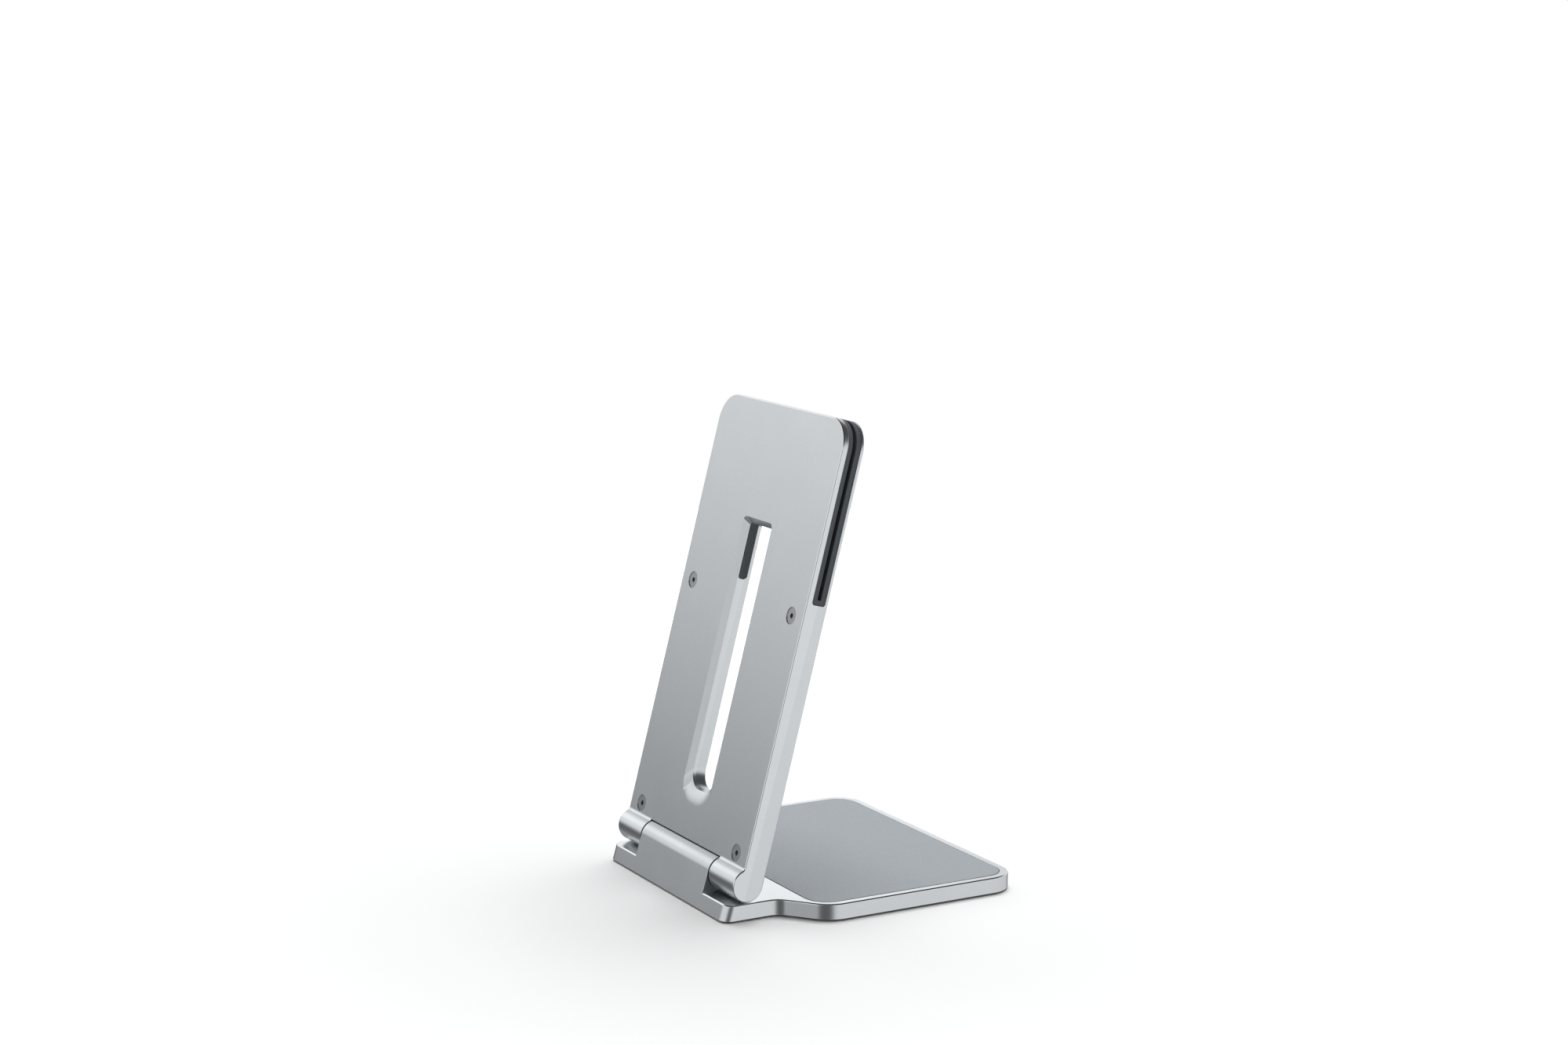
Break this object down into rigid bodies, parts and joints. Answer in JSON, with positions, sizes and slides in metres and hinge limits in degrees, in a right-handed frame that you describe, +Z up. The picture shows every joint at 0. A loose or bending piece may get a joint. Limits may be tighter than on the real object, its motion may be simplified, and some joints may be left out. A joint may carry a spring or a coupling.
{
  "type": "tablet stand",
  "caption": "Folding aluminium stand: a lined groove at the top of a hinged arm grips a tablet's kickstand, on a flat padded base.",
  "frame": {"origin": "on the table, under the middle of the base", "axes": "+X to the user's right, along the hinge; +Y to the rear, from the user towards the hinge; +Z up"},
  "size_m": [0.1394, 0.1288, 0.1985],
  "materials": {
    "anodised_aluminium": "bead-blasted, silver anodised, polished chamfers",
    "pad_silicone": "matte, finely textured",
    "liner_rubber": "matte",
    "sole_rubber": "matte",
    "steel": "turned, plain",
    "bronze": "sintered, oiled"
  },
  "bodies": {
    "base": {"base_plate": "anodised_aluminium", "base_top_pad": "pad_silicone", "base_sole_pad": "sole_rubber", "hinge_bush_left": "bronze", "hinge_bush_right": "bronze", "bush_grub_screw_left": "steel", "bush_grub_screw_right": "steel"},
    "arm": {"arm_rear_half": "anodised_aluminium", "arm_front_half": "anodised_aluminium", "rear_jaw_liner": "liner_rubber", "front_jaw_liner": "liner_rubber", "hinge_shaft": "steel", "disc_spring_left_inner": "steel", "disc_spring_left_outer": "steel", "disc_spring_right_inner": "steel", "disc_spring_right_outer": "steel", "thrust_washer_left": "steel", "thrust_washer_right": "steel", "arm_screw_lower_left": "steel", "arm_screw_lower_right": "steel", "arm_screw_upper_left": "steel", "arm_screw_upper_right": "steel"}
  },
  "joints": [
    {"name": "arm_hinge", "type": "hinge", "parent": "base", "child": "arm", "pos_m": [0, 0.0534, 0.0144], "axis": [1, 0, 0], "range_deg": [-30, 75]}
  ]
}
